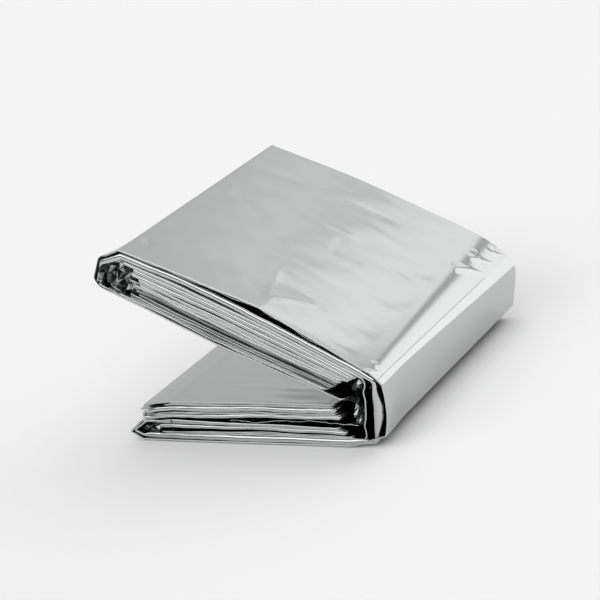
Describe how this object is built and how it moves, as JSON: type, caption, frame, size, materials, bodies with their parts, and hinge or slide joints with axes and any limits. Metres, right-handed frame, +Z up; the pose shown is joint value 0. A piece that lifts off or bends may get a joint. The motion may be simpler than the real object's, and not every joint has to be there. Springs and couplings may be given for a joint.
{
  "type": "bivy sack",
  "caption": "Emergency bivy sack of metallised film, folded into a flat pad and standing part open like a book on its spine.",
  "frame": {"origin": "centre of the lower leaf's resting face", "axes": "+Z up, Y along the spine, +X from the free ends of the leaves towards the spine"},
  "size_m": [0.131, 0.114, 0.0853],
  "materials": {
    "silver_film": "bright metallised polyester film with fine wrinkles, near mirror",
    "folded_film": "stacked folds of the same bright film, seen on their edges",
    "seam_weld": "the same film, heat welded and a little duller"
  },
  "bodies": {
    "lower_leaf": {"bottom_cover_film": "silver_film", "foot_seam": "seam_weld", "lower_end_cover_film": "silver_film", "lower_end_fold_1": "folded_film", "lower_end_fold_2": "folded_film", "lower_end_fold_3": "folded_film", "lower_face_film": "silver_film", "lower_layer_1": "folded_film", "lower_layer_2": "folded_film", "lower_layer_3": "folded_film", "lower_layer_4": "folded_film", "lower_layer_5": "folded_film", "lower_layer_6": "folded_film", "lower_layer_7": "folded_film", "lower_layer_8": "folded_film"},
    "spine": {"spine_cover_film": "silver_film", "spine_wrap_1": "folded_film", "spine_wrap_2": "folded_film", "spine_wrap_3": "folded_film", "spine_wrap_4": "folded_film", "spine_wrap_5": "folded_film", "spine_wrap_6": "folded_film", "spine_wrap_7": "folded_film", "spine_wrap_8": "folded_film"},
    "upper_leaf": {"top_cover_film": "silver_film", "upper_end_cover_film": "silver_film", "upper_end_fold_1": "folded_film", "upper_end_fold_2": "folded_film", "upper_end_fold_3": "folded_film", "upper_end_fold_4": "folded_film", "upper_face_film": "silver_film", "upper_layer_1": "folded_film", "upper_layer_2": "folded_film", "upper_layer_3": "folded_film", "upper_layer_4": "folded_film", "upper_layer_5": "folded_film", "upper_layer_6": "folded_film", "upper_layer_7": "folded_film", "upper_layer_8": "folded_film"}
  },
  "joints": [
    {"name": "lower_crease", "type": "hinge", "parent": "lower_leaf", "child": "spine", "pos_m": [0.062, 0, 0], "axis": [0, 1, 0], "range_deg": [-10, 76]},
    {"name": "upper_crease", "type": "hinge", "parent": "spine", "child": "upper_leaf", "pos_m": [0.06902, 0, 0.02814], "axis": [0, 1, 0], "range_deg": [-10, 76]}
  ]
}
